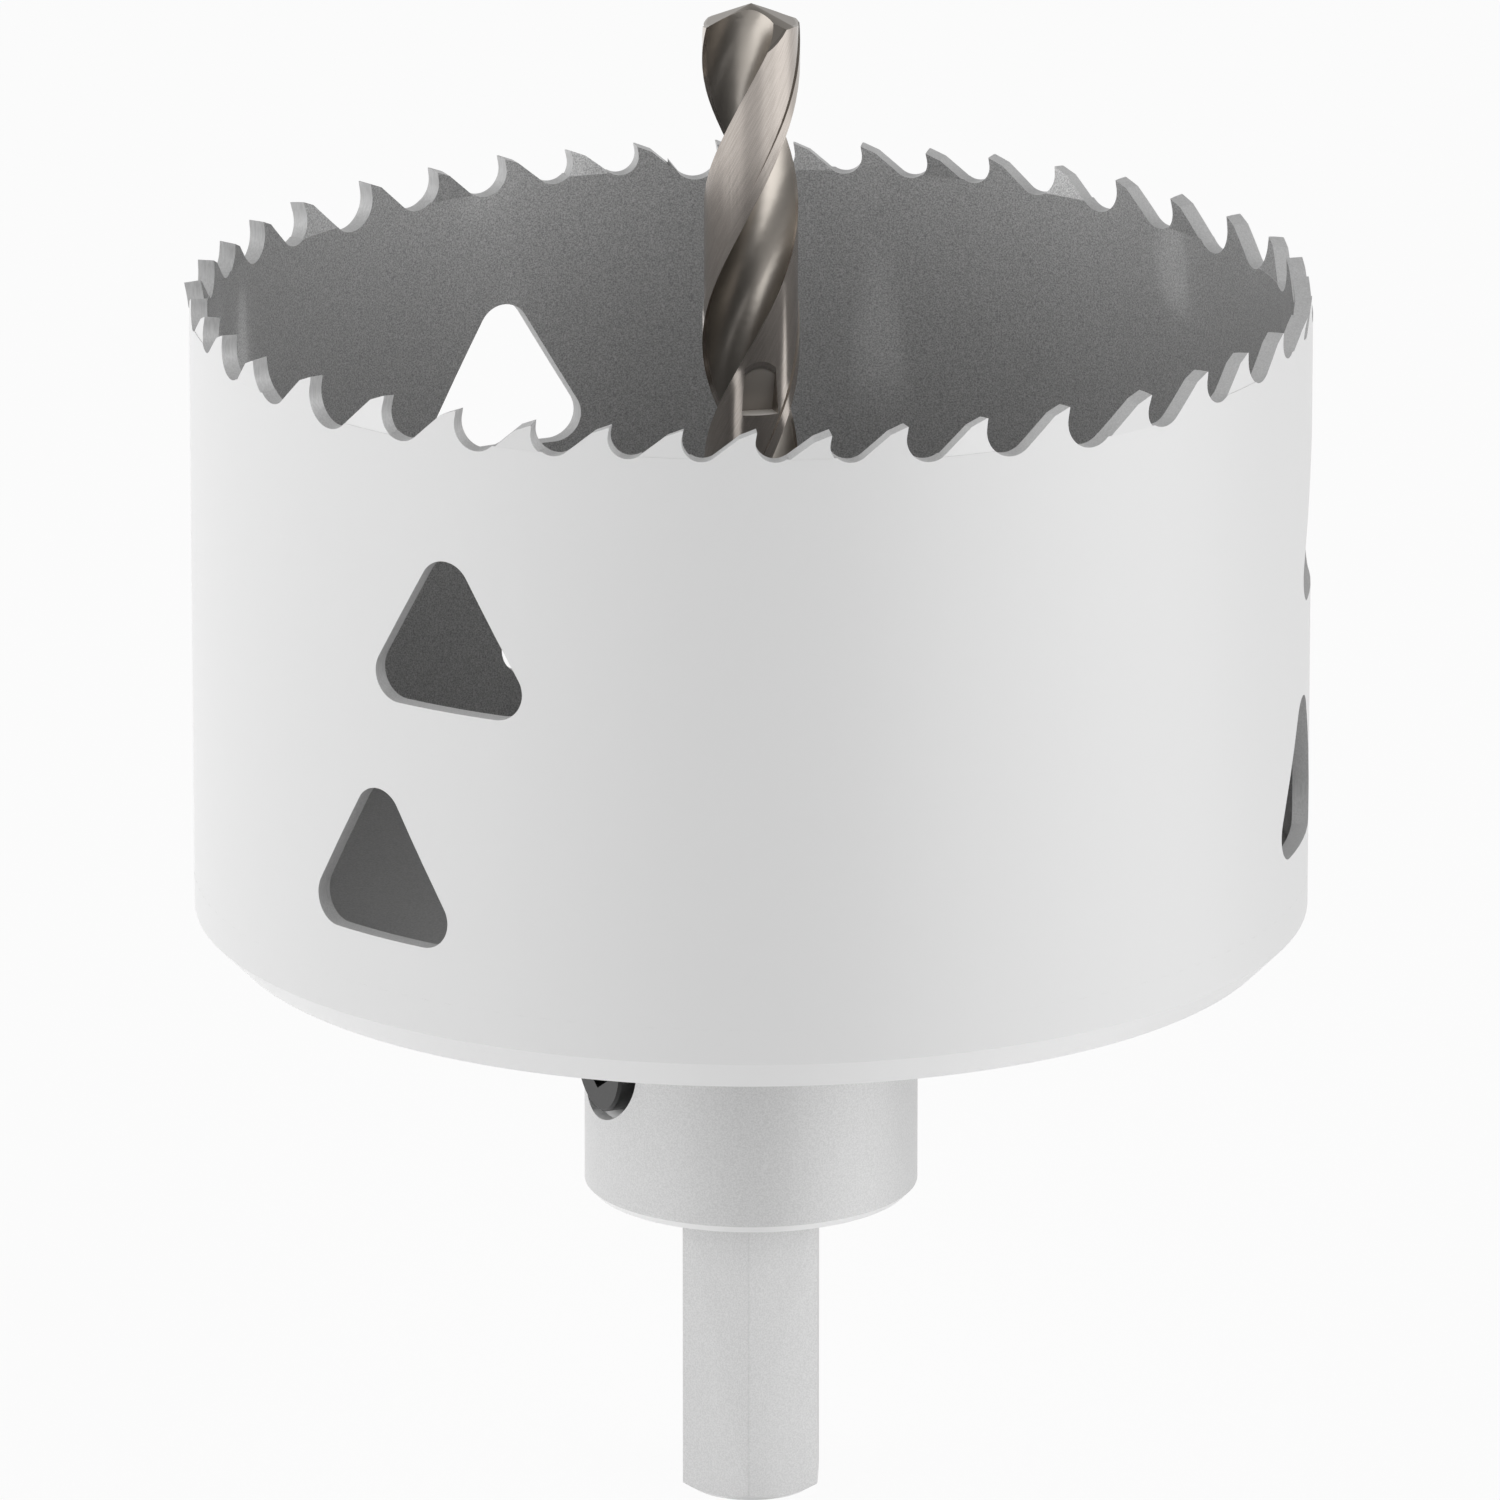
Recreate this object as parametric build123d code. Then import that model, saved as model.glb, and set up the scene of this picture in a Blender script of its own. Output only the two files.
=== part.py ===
from build123d import *
import math
import os

# Hole saw with its arbor and pilot drill, millimetres, +Z along the axis with the teeth up.
# The origin is the centre of the hex shank's end. The front is -Y, and a bearing is the angle
# from the front towards +X, which is also the way the saw turns when it cuts.

# Cup: a rolled steel strip with teeth along its top edge, welded to a round base plate.
CUP_DIAMETER = 82.2
CUP_HEIGHT = 49.4
STRIP_THICKNESS = 1.2
BASE_THICKNESS = 5.0
BASE_CHAMFER = 2.4

# Teeth: the bearing of each tip, uneven on purpose so that the saw doesn't chatter.
TOOTH_BEARINGS = (
    0.6, 8.0, 15.8, 24.4, 33.6, 43.6, 53.0, 61.4, 69.7, 77.1, 84.5, 92.2, 99.8, 109.0, 118.1, 128.1,
    137.1, 145.8, 153.6, 160.8, 168.2, 175.6, 183.8, 192.5, 199.8, 207.7, 216.4, 225.5, 235.6, 244.8,
    253.6, 261.4, 269.3, 276.8, 283.9, 291.5, 300.4, 309.8, 320.0, 329.2, 337.9, 345.8, 353.2,
)
TIP_LAND = 0.12
RAKE_ANGLE = 10.0
BACK_FACET_LENGTH = 1.27
BACK_FACET_ANGLE = 22.0
SHORTEST_PITCH = 7.4
SHALLOWEST_GULLET_DEPTH = 2.2
GULLET_DEPTH_PER_DEGREE = 0.42
GULLET_RADIUS_SHARE = 0.65

# Set: straight teeth alternate with teeth bent outwards and inwards, so the slot clears the wall.
# Each tooth takes the rear share of the pitch before its tip, bends at a share of the shallower
# gullet beside it, and its top steps over by a hair.
OUTWARD_SET_ANGLE = 10.0
INWARD_SET_ANGLE = 6.0
BEND_DEPTH_SHARE = 0.9
BEND_STEP = 0.04
TOOTH_REAR_SHARE = 0.8
SET_PATTERN = ("straight", "out", "straight", "in")
FIRST_TOOTH_AFTER_JOINT = 23

# Butt weld of the rolled strip, where its two ends don't quite line up.
JOINT_BEARING = 188.8
JOINT_STEP = 0.33

# Slots punched in the strip for lifting out the core: rounded triangles in two rows.
SLOT_COUNT = 3
SLOT_WIDTH = 12.5
SLOT_HEIGHT = 11.2
SLOT_CORNER_RADIUS = 2.1
UPPER_SLOT_BEARING = -32.2
LOWER_SLOT_BEARING = -40.8
LOWER_SLOT_ABOVE_BASE = 3.9
SLOT_ROW_SPACING = 18.0

# Arbor: one turned piece with a nose through the base, a collar and a hexagonal shank.
COLLAR_DIAMETER = 24.7
COLLAR_LENGTH = 19.9
COLLAR_CHAMFER = 0.6
NOSE_DIAMETER = 15.9
NOSE_STANDOUT = 3.6
NOSE_CHAMFER = 0.8
NOSE_CLEARANCE = 0.1
SHANK_FLATS = 10.0
SHANK_LENGTH = 23.3
SHANK_TURN = -1.6
SHANK_END_DIAMETER = 9.24
SHANK_END_ANGLE = 33.0

# Pilot drill: two right-hand flutes, a split point and a notch milled in one land.
# The flutes keep their width behind the point, then narrow, and run out where the wheel lifts.
DRILL_DIAMETER = 7.15
DRILL_REACH = 21.0
DRILL_CLEARANCE = 0.1
DRILL_SEAT_BELOW_SCREW = 8.0
GRINDING_STOCK = 0.15
FLUTE_COUNT = 2
FLUTE_LEAD = 41.15
FLUTE_WIDTH_ANGLE = 97.4
FLUTE_WIDE_LENGTH = 9.9
FLUTE_NARROWING_PER_MM = 1.0
FLUTE_END_ANGLE = 66.0
FLUTE_LENGTH = 50.0
FLUTE_RUNOUT = 9.0
FLUTE_END_LIFT_SHARE = 0.96
FLUTE_TURN_PER_SECTION = 15.0
WEB_THICKNESS = 1.5
MARGIN_WIDTH = 0.9
LAND_RELIEF = 0.12
FLUTE_SIDE_DEPTH = 9.94
POINT_ANGLE = 135.0
POINT_RELIEF_ANGLE = 11.0
POINT_CORNER_RADIUS = 0.7
HEEL_FACET_ANGLE = 53.6
HEEL_FACET_START = 0.98
HEEL_FACET_TURN = -120.6
NOTCH_DEPTH_BELOW_TEETH = 9.2
NOTCH_FLOOR = 1.97
NOTCH_WIDTH = 2.3
NOTCH_FLARE = 10.0
NOTCH_RISE = 4.4
NOTCH_FROM_FLUTE = -80.8

# Set screw that holds the pilot drill in the arbor.
SCREW_DIAMETER = 8.0
SCREW_LENGTH = 10.0
SCREW_CLEARANCE = 0.1
SCREW_BEARING = -65.3
SCREW_BELOW_BASE = 8.5
SCREW_FLAT_DEPTH = 1.1
SCREW_SOCKET_FLATS = 4.0
SCREW_SOCKET_DEPTH = 4.0
SCREW_EDGE_CHAMFER = 0.2
SCREW_POINT_CHAMFER = 1.2
COUNTERSINK_DIAMETER = 9.3

# Heights worked out from the sizes above.
COLLAR_TOP = SHANK_LENGTH + COLLAR_LENGTH
STRIP_BOTTOM = COLLAR_TOP + BASE_THICKNESS
LOWER_SLOT_BOTTOM = STRIP_BOTTOM + LOWER_SLOT_ABOVE_BASE
TOOTH_TOP = COLLAR_TOP + CUP_HEIGHT
DRILL_TOP = TOOTH_TOP + DRILL_REACH
SCREW_HEIGHT = COLLAR_TOP - SCREW_BELOW_BASE
DRILL_BOTTOM = SCREW_HEIGHT - DRILL_SEAT_BELOW_SCREW

CUP_RADIUS = CUP_DIAMETER / 2
DRILL_RADIUS = DRILL_DIAMETER / 2
BLANK_RADIUS = DRILL_RADIUS + GRINDING_STOCK
HEX_SIDES = 6
OVERCUT = 2.0


def bearing_plane(bearing, height):
    """Plane whose x runs round the axis, y up and z outwards, on the axis at a height."""
    angle = math.radians(bearing)
    outward = (math.sin(angle), -math.cos(angle), 0)
    around = (math.cos(angle), math.sin(angle), 0)
    return Plane(origin=(0, 0, height), x_dir=around, z_dir=outward)


def pitch_after(index):
    """Angle in degrees from a tooth's tip to the next one."""
    following = TOOTH_BEARINGS[(index + 1) % len(TOOTH_BEARINGS)]
    return (following - TOOTH_BEARINGS[index]) % 360


def gullet_depth(index):
    """Depth of the gullet in front of one tooth: the wider the pitch, the deeper."""
    return SHALLOWEST_GULLET_DEPTH + GULLET_DEPTH_PER_DEGREE * (pitch_after(index) - SHORTEST_PITCH)


def tangent_point(outside, centre, radius, side):
    """Point where the line from a point outside a circle touches it, on the chosen side."""
    dx = outside[0] - centre[0]
    dy = outside[1] - centre[1]
    reach = math.hypot(dx, dy)
    angle = math.atan2(dy, dx) + side * math.acos(radius / reach)
    return (centre[0] + radius * math.cos(angle), centre[1] + radius * math.sin(angle))


def gullet_outline(width, depth, step_at=None):
    """Outline of the space between two tips, from the first tip at (0, 0) to the next at (width, 0)."""
    rake = math.radians(RAKE_ANGLE)
    facet = math.radians(BACK_FACET_ANGLE)
    radius = GULLET_RADIUS_SHARE * depth
    centre_y = radius - depth
    centre_x = (radius + centre_y * math.sin(rake)) / math.cos(rake)
    centre = (centre_x, centre_y)
    rake_end = (centre_x - radius * math.cos(rake), centre_y + radius * math.sin(rake))
    bottom = (centre_x, -depth)
    next_tip = (width - TIP_LAND, 0)
    facet_end = (
        next_tip[0] - BACK_FACET_LENGTH * math.cos(facet),
        -BACK_FACET_LENGTH * math.sin(facet),
    )
    slope_start = tangent_point(facet_end, centre, radius, -1)
    slope = [slope_start, facet_end]
    if step_at is not None:
        share = (step_at - slope_start[0]) / (facet_end[0] - slope_start[0])
        low = slope_start[1] + share * (facet_end[1] - slope_start[1])
        slope = [slope_start, (step_at, low + JOINT_STEP), (step_at, low), facet_end]
    with BuildLine() as outline:
        Polyline((0, OVERCUT), (0, 0), rake_end)
        ThreePointArc(rake_end, arc_middle(centre, rake_end, bottom), bottom)
        ThreePointArc(bottom, arc_middle(centre, bottom, slope_start), slope_start)
        Polyline(*slope, next_tip, (next_tip[0], OVERCUT), (0, OVERCUT))
    return make_face(outline.edges())


def arc_middle(centre, start, end):
    """Middle of the short arc between two points on a circle."""
    mid = ((start[0] + end[0]) / 2 - centre[0], (start[1] + end[1]) / 2 - centre[1])
    scale = math.dist(centre, start) / math.hypot(*mid)
    return (centre[0] + mid[0] * scale, centre[1] + mid[1] * scale)


def gullet_cutter(index):
    """Solid that cuts the gullet in front of one tooth, square through the strip."""
    pitch = pitch_after(index)
    middle = TOOTH_BEARINGS[index] + pitch / 2
    half = CUP_RADIUS * math.sin(math.radians(pitch / 2))
    step_at = None
    from_tip = JOINT_BEARING - TOOTH_BEARINGS[index]
    if 0 < from_tip < pitch:
        step_at = CUP_RADIUS * math.radians(from_tip)
    outline = gullet_outline(2 * half, gullet_depth(index), step_at).moved(Location((-half, 0, 0)))
    placed = bearing_plane(middle, TOOTH_TOP) * outline
    outward = bearing_plane(middle, TOOTH_TOP).z_dir
    start = placed.moved(Location(outward * (CUP_RADIUS - STRIP_THICKNESS - OVERCUT)))
    return extrude(start, amount=STRIP_THICKNESS + 2 * OVERCUT, dir=outward)


def set_of(index):
    """Which way a tooth is bent: the pattern starts again at the butt weld."""
    place = (index - FIRST_TOOTH_AFTER_JOINT) % len(TOOTH_BEARINGS)
    return SET_PATTERN[place % len(SET_PATTERN)]


def bent_tooth(strip, index):
    """Room that one tooth's top takes, and that top bent about the line where its set begins."""
    outwards = set_of(index) == "out"
    behind = TOOTH_REAR_SHARE * pitch_after(index - 1)
    ahead = (1 - TOOTH_REAR_SHARE) * pitch_after(index)
    bend = BEND_DEPTH_SHARE * min(gullet_depth(index - 1), gullet_depth(index))
    plane = bearing_plane(TOOTH_BEARINGS[index] + (ahead - behind) / 2, TOOTH_TOP - bend)
    width = 2 * CUP_RADIUS * math.sin(math.radians((ahead + behind) / 2))
    reach = 2 * (STRIP_THICKNESS + OVERCUT)
    block = Box(width, bend + OVERCUT, reach, align=(Align.CENTER, Align.MIN, Align.CENTER))
    region = plane * Pos(0, 0, CUP_RADIUS) * block
    dip = plane * Pos(0, -STRIP_THICKNESS / 2, CUP_RADIUS) * block
    line_radius = CUP_RADIUS - STRIP_THICKNESS if outwards else CUP_RADIUS
    hinge = Axis(origin=plane.origin + plane.z_dir * line_radius, direction=plane.x_dir)
    lean = OUTWARD_SET_ANGLE if outwards else -INWARD_SET_ANGLE
    turned = (strip & dip).rotate(hinge, lean)
    shifted = turned.moved(Location(plane.z_dir * math.copysign(BEND_STEP, lean)))
    return region, shifted & region


def slot_cutter(bearing, bottom):
    """Solid that punches one rounded triangle, apex up, through the strip."""
    low = SLOT_CORNER_RADIUS
    side = SLOT_WIDTH / 2 - SLOT_CORNER_RADIUS
    with BuildSketch() as corners:
        with Locations((-side, low), (side, low), (0, SLOT_HEIGHT - low)):
            Circle(SLOT_CORNER_RADIUS)
        make_hull()
    plane = bearing_plane(bearing, bottom)
    start = (plane * corners.sketch).moved(Location(plane.z_dir * (CUP_RADIUS - STRIP_THICKNESS - OVERCUT)))
    return extrude(start, amount=STRIP_THICKNESS + 2 * OVERCUT, dir=plane.z_dir)


def tooth_band():
    """Rolled strip with its gullets, slots and set teeth."""
    height = TOOTH_TOP - STRIP_BOTTOM
    ring = Cylinder(CUP_RADIUS, height, align=(Align.CENTER, Align.CENTER, Align.MIN))
    ring -= Cylinder(CUP_RADIUS - STRIP_THICKNESS, height, align=(Align.CENTER, Align.CENTER, Align.MIN))
    ring = Pos(0, 0, STRIP_BOTTOM) * ring
    cutters = [gullet_cutter(index) for index in range(len(TOOTH_BEARINGS))]
    for number in range(SLOT_COUNT):
        turn = number * 360 / SLOT_COUNT
        cutters.append(slot_cutter(UPPER_SLOT_BEARING + turn, LOWER_SLOT_BOTTOM + SLOT_ROW_SPACING))
        cutters.append(slot_cutter(LOWER_SLOT_BEARING + turn, LOWER_SLOT_BOTTOM))
    strip = ring - cutters
    bent = [bent_tooth(strip, index) for index in range(len(TOOTH_BEARINGS)) if set_of(index) != "straight"]
    strip = strip - [region for region, _ in bent]
    return strip + [top for _, top in bent]


def base_plate():
    """Round plate under the strip, chamfered below and bored for the arbor's nose."""
    with BuildSketch(Plane.XZ) as section:
        with BuildLine():
            inner = (NOSE_DIAMETER + NOSE_CLEARANCE) / 2
            Polyline(
                (inner, COLLAR_TOP),
                (CUP_RADIUS - BASE_CHAMFER, COLLAR_TOP),
                (CUP_RADIUS, COLLAR_TOP + BASE_CHAMFER),
                (CUP_RADIUS, STRIP_BOTTOM),
                (inner, STRIP_BOTTOM),
                close=True,
            )
        make_face()
    return revolve(section.sketch, Axis.Z)


def hex_shank():
    """Hexagonal shank with a turned cone at its end."""
    with BuildSketch() as section:
        RegularPolygon(SHANK_FLATS / 2, HEX_SIDES, major_radius=False, rotation=SHANK_TURN - 90)
    bar = extrude(section.sketch, amount=SHANK_LENGTH + COLLAR_CHAMFER)
    corner = SHANK_FLATS / 2 / math.cos(math.pi / HEX_SIDES) + OVERCUT
    end = SHANK_END_DIAMETER / 2
    with BuildSketch(Plane.XZ) as turned:
        with BuildLine():
            Polyline(
                (0, 0),
                (end, 0),
                (corner, (corner - end) * math.tan(math.radians(SHANK_END_ANGLE))),
                (corner, SHANK_LENGTH + COLLAR_LENGTH / 2),
                (0, SHANK_LENGTH + COLLAR_LENGTH / 2),
                close=True,
            )
        make_face()
    return bar & revolve(turned.sketch, Axis.Z)


def radial_bore(diameter, start_radius, end_radius):
    """Cylinder along the set screw's line between two distances from the axis."""
    plane = bearing_plane(SCREW_BEARING, SCREW_HEIGHT)
    bore = Cylinder(diameter / 2, end_radius - start_radius, align=(Align.CENTER, Align.CENTER, Align.MIN))
    return plane * Pos(0, 0, start_radius) * bore


def screw_countersink():
    """Cone at the mouth of the set screw's hole."""
    plane = bearing_plane(SCREW_BEARING, SCREW_HEIGHT)
    mouth = COLLAR_DIAMETER / 2
    drop = mouth - math.sqrt(mouth ** 2 - (COUNTERSINK_DIAMETER / 2) ** 2)
    small = SCREW_DIAMETER / 2
    deep = COUNTERSINK_DIAMETER / 2 - small
    cone = Cone(small, COUNTERSINK_DIAMETER / 2, deep, align=(Align.CENTER, Align.CENTER, Align.MIN))
    clear = Cylinder(COUNTERSINK_DIAMETER / 2, drop + OVERCUT, align=(Align.CENTER, Align.CENTER, Align.MIN))
    base = mouth - drop - deep
    return plane * (Pos(0, 0, base) * cone + Pos(0, 0, mouth - drop) * clear)


def arbor():
    """Collar, nose and hexagonal shank in one piece, with its bores."""
    collar_radius = COLLAR_DIAMETER / 2
    nose_radius = NOSE_DIAMETER / 2
    nose_top = STRIP_BOTTOM + NOSE_STANDOUT
    with BuildSketch(Plane.XZ) as section:
        with BuildLine():
            Polyline(
                (0, SHANK_LENGTH),
                (collar_radius - COLLAR_CHAMFER, SHANK_LENGTH),
                (collar_radius, SHANK_LENGTH + COLLAR_CHAMFER),
                (collar_radius, COLLAR_TOP),
                (nose_radius, COLLAR_TOP),
                (nose_radius, nose_top - NOSE_CHAMFER),
                (nose_radius - NOSE_CHAMFER, nose_top),
                (0, nose_top),
                close=True,
            )
        make_face()
    body = revolve(section.sketch, Axis.Z) + hex_shank()
    bore_radius = (DRILL_DIAMETER + DRILL_CLEARANCE) / 2
    depth = nose_top + OVERCUT - DRILL_BOTTOM
    bore = Pos(0, 0, DRILL_BOTTOM) * Cylinder(bore_radius, depth, align=(Align.CENTER, Align.CENTER, Align.MIN))
    hole = radial_bore(SCREW_DIAMETER + SCREW_CLEARANCE, 0, collar_radius + OVERCUT)
    return body - bore - hole - screw_countersink()


def flute_shape(depth):
    """Half a flute's width in degrees, its floor's radius and the land's, at a depth below the tip."""
    narrowing = FLUTE_NARROWING_PER_MM * max(0, depth - FLUTE_WIDE_LENGTH)
    half = max(FLUTE_WIDTH_ANGLE - narrowing, FLUTE_END_ANGLE) / 2
    into_runout = max(0, depth - FLUTE_LENGTH + FLUTE_RUNOUT)
    lift = FLUTE_END_LIFT_SHARE * (into_runout / FLUTE_RUNOUT) ** 2
    web = WEB_THICKNESS / 2
    floor = web + (BLANK_RADIUS - web) * lift
    relieved = BLANK_RADIUS - (GRINDING_STOCK + LAND_RELIEF) * (1 - lift)
    return half * math.sqrt(1 - lift), floor, relieved


def flute_section(depth):
    """Outline of the fluted blank at a depth below the tip, in its place and turned to it."""
    half, floor, relieved = flute_shape(depth)
    height = DRILL_TOP - depth
    turned = flute_turn(height)
    margin = math.degrees(MARGIN_WIDTH / DRILL_RADIUS)
    spacing = 360 / FLUTE_COUNT

    def at(radius, angle):
        bearing = math.radians(turned + angle)
        return (radius * math.cos(bearing), radius * math.sin(bearing), height)

    edges = []
    for number in range(FLUTE_COUNT):
        turn = number * spacing
        heel = turn - spacing + half
        edge = turn - half
        shoulder = edge - margin
        land = (at(relieved, heel), at(relieved, (heel + shoulder) / 2), at(relieved, shoulder))
        rim = (at(BLANK_RADIUS, shoulder), at(BLANK_RADIUS, (shoulder + edge) / 2), at(BLANK_RADIUS, edge))
        edges.append(ThreePointArc(*land))
        edges.append(Line(land[-1], rim[0]))
        edges.append(ThreePointArc(*rim))
        edges.append(ThreePointArc(rim[-1], at(floor, turn), at(relieved, turn + half)))
    return Wire(edges)


def lip_turn():
    """Angle from +X of the cutting lip at the point's outer corner, and its drop from the tip."""
    drop = DRILL_RADIUS * math.tan(math.radians(90 - POINT_ANGLE / 2))
    return flute_turn(DRILL_TOP - drop) - FLUTE_WIDTH_ANGLE / 2 - 360 / FLUTE_COUNT, drop


def point_envelope():
    """Revolved outline of the drill with a cone at its top and a rounded outer corner."""
    drop = lip_turn()[1]
    with BuildSketch(Plane.XZ) as profile:
        with BuildLine():
            Polyline(
                (0, DRILL_BOTTOM),
                (DRILL_RADIUS, DRILL_BOTTOM),
                (DRILL_RADIUS, DRILL_TOP - drop),
                (0, DRILL_TOP),
                close=True,
            )
        make_face()
        corner = profile.vertices().filter_by(lambda v: v.X > DRILL_RADIUS / 2).sort_by(Axis.Z)[-1]
        fillet(corner, POINT_CORNER_RADIUS)
    return revolve(profile.sketch, Axis.Z)


def point_flanks():
    """Roof whose ridge is the chisel edge: the flank behind each lip falls away with the relief."""
    along = math.tan(math.radians(90 - POINT_ANGLE / 2))
    across = math.tan(math.radians(POINT_RELIEF_ANGLE))
    slope = math.hypot(along, across)
    ridge = math.degrees(math.atan2(along, across))
    reach = 2 * DRILL_DIAMETER
    foot = DRILL_BOTTOM - DRILL_TOP
    with BuildSketch(Plane(origin=(0, 0, DRILL_TOP), x_dir=(0, 1, 0), z_dir=(1, 0, 0))) as roof:
        with BuildLine():
            eaves = -reach * slope
            Polyline((0, 0), (reach, eaves), (reach, foot), (-reach, foot), (-reach, eaves), close=True)
        make_face()
    return extrude(roof.sketch, amount=reach, both=True).rotate(Axis.Z, ridge + lip_turn()[0])


def heel_facets():
    """Two blocks that grind the steep second facet behind each flank."""
    size = 4 * DRILL_DIAMETER
    block = Box(size, size, DRILL_DIAMETER, align=(Align.CENTER, Align.CENTER, Align.MIN))
    tilted = Pos(HEEL_FACET_START, 0, DRILL_TOP) * Rot(0, HEEL_FACET_ANGLE, 0) * block
    turn = lip_turn()[0] + HEEL_FACET_TURN
    return [tilted.rotate(Axis.Z, turn), tilted.rotate(Axis.Z, turn + 180)]


def flute_turn(height):
    """Angle from +X of the first flute's middle at a height."""
    return 180 + 360 * (height - DRILL_TOP + FLUTE_SIDE_DEPTH) / FLUTE_LEAD


def drill_notch():
    """Notch milled in a land: a square ledge below, rising to nothing above."""
    flare = math.tan(math.radians(NOTCH_FLARE))
    deep = DRILL_RADIUS + OVERCUT - NOTCH_FLOOR
    half = NOTCH_WIDTH / 2
    ledge = TOOTH_TOP - NOTCH_DEPTH_BELOW_TEETH
    with BuildSketch() as section:
        with BuildLine():
            Polyline(
                (-half, -NOTCH_FLOOR),
                (half, -NOTCH_FLOOR),
                (half + deep * flare, -NOTCH_FLOOR - deep),
                (-half - deep * flare, -NOTCH_FLOOR - deep),
                close=True,
            )
        make_face()
    rise = Vector(0, NOTCH_FLOOR - DRILL_RADIUS, NOTCH_RISE)
    wedge = extrude(section.sketch, amount=rise.length, dir=rise)
    return Pos(0, 0, ledge) * wedge.rotate(Axis.Z, flute_turn(ledge) + NOTCH_FROM_FLUTE + 90)


def screw_flat():
    """Flat ground on the drill's shank where the set screw bears."""
    plane = bearing_plane(SCREW_BEARING, SCREW_HEIGHT)
    seat = DRILL_RADIUS - SCREW_FLAT_DEPTH
    length = SCREW_DIAMETER + 2 * OVERCUT
    block = Box(2 * DRILL_DIAMETER, length, DRILL_DIAMETER, align=(Align.CENTER, Align.CENTER, Align.MIN))
    return plane * Pos(0, 0, seat) * block


def pilot_drill():
    """Twist drill with a plain shank held in the arbor, fluted in a blank and then ground to size."""
    start = DRILL_TOP - FLUTE_LENGTH
    count = math.ceil(360 * FLUTE_LENGTH / FLUTE_LEAD / FLUTE_TURN_PER_SECTION)
    fluted = Solid.make_loft([flute_section(FLUTE_LENGTH * place / count) for place in range(count + 1)])
    shank = Cylinder(BLANK_RADIUS, start - DRILL_BOTTOM, align=(Align.CENTER, Align.CENTER, Align.MIN))
    body = fluted + Pos(0, 0, DRILL_BOTTOM) * shank
    ground = body & point_envelope() & point_flanks()
    return ground - heel_facets() - drill_notch() - screw_flat()


def set_screw():
    """Headless screw with a hexagonal socket, its point on the drill's flat."""
    plane = bearing_plane(SCREW_BEARING, SCREW_HEIGHT)
    seat = DRILL_RADIUS - SCREW_FLAT_DEPTH
    body = Cylinder(SCREW_DIAMETER / 2, SCREW_LENGTH, align=(Align.CENTER, Align.CENTER, Align.MIN))
    ends = body.edges().filter_by(GeomType.CIRCLE).sort_by(Axis.Z)
    body = chamfer(ends[0], SCREW_POINT_CHAMFER)
    body = chamfer(body.edges().filter_by(GeomType.CIRCLE).sort_by(Axis.Z)[-1], SCREW_EDGE_CHAMFER)
    with BuildSketch(Plane.XY.offset(SCREW_LENGTH - SCREW_SOCKET_DEPTH)) as socket:
        RegularPolygon(SCREW_SOCKET_FLATS / 2, HEX_SIDES, major_radius=False, rotation=180 / HEX_SIDES)
    body -= extrude(socket.sketch, amount=SCREW_SOCKET_DEPTH + OVERCUT)
    return plane * Pos(0, 0, seat) * body


NODES = {
    "tooth_band": tooth_band,
    "base_plate": base_plate,
    "arbor": arbor,
    "pilot_drill": pilot_drill,
    "set_screw": set_screw,
}

os.makedirs("parts", exist_ok=True)
for name, build in NODES.items():
    export_step(build(), os.path.join("parts", name + ".step"))
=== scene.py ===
"""Looks of a bi-metal hole saw with its arbor and pilot drill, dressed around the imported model."""

import logging
import math
from dataclasses import dataclass
from enum import Enum
from typing import Any

import bmesh
import bpy
import numpy as np
from mathutils import Euler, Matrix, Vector


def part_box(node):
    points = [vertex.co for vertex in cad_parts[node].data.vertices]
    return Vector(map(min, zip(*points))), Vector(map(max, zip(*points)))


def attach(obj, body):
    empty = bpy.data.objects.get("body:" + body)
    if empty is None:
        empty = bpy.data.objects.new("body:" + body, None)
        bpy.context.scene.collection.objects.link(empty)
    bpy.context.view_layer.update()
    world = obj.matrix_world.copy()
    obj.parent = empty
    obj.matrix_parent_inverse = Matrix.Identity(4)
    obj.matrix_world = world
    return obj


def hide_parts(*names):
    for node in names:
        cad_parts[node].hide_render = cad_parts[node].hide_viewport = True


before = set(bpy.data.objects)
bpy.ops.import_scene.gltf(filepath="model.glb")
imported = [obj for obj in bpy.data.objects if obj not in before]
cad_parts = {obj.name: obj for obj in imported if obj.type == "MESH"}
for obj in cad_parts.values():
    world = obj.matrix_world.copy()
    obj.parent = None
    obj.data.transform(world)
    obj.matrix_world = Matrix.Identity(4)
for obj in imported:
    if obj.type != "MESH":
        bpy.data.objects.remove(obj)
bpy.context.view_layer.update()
NODES: dict[str, bpy.types.Object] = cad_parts
MM = 0.001
BODY = "root"

Socket = bpy.types.NodeSocket
Node = bpy.types.Node
Tree = bpy.types.NodeTree
Range = tuple[float, float]

# Blender's names of the nodes that the finishes use most, and their settings.
RANGE = "ShaderNodeMapRange"
MIX = "ShaderNodeMix"
MATH = "ShaderNodeMath"
VECTORS = "ShaderNodeVectorMath"
BUMP = "ShaderNodeBump"
SMOOTH = {"interpolation_type": "SMOOTHSTEP"}
COLOURS = {"data_type": "RGBA"}
NUMBERS = {"data_type": "FLOAT"}
NUMBER_A, NUMBER_B, COLOUR_A, COLOUR_B = 2, 3, 6, 7

WHOLE: Range = (0.0, 1.0)
# Nearly all of a noise's values lie in this range.
NOISE_RANGE: Range = (0.3, 0.7)
NOISE_ROUGHNESS = 0.6
# A vector times this keeps its x and y and loses its height.
LEVEL_PART = (1, 1, 0)
# The cup and its base plate were lacquered together.
LACQUER = "#E3E3E3"

log = logging.getLogger("hole_saw")


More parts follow.
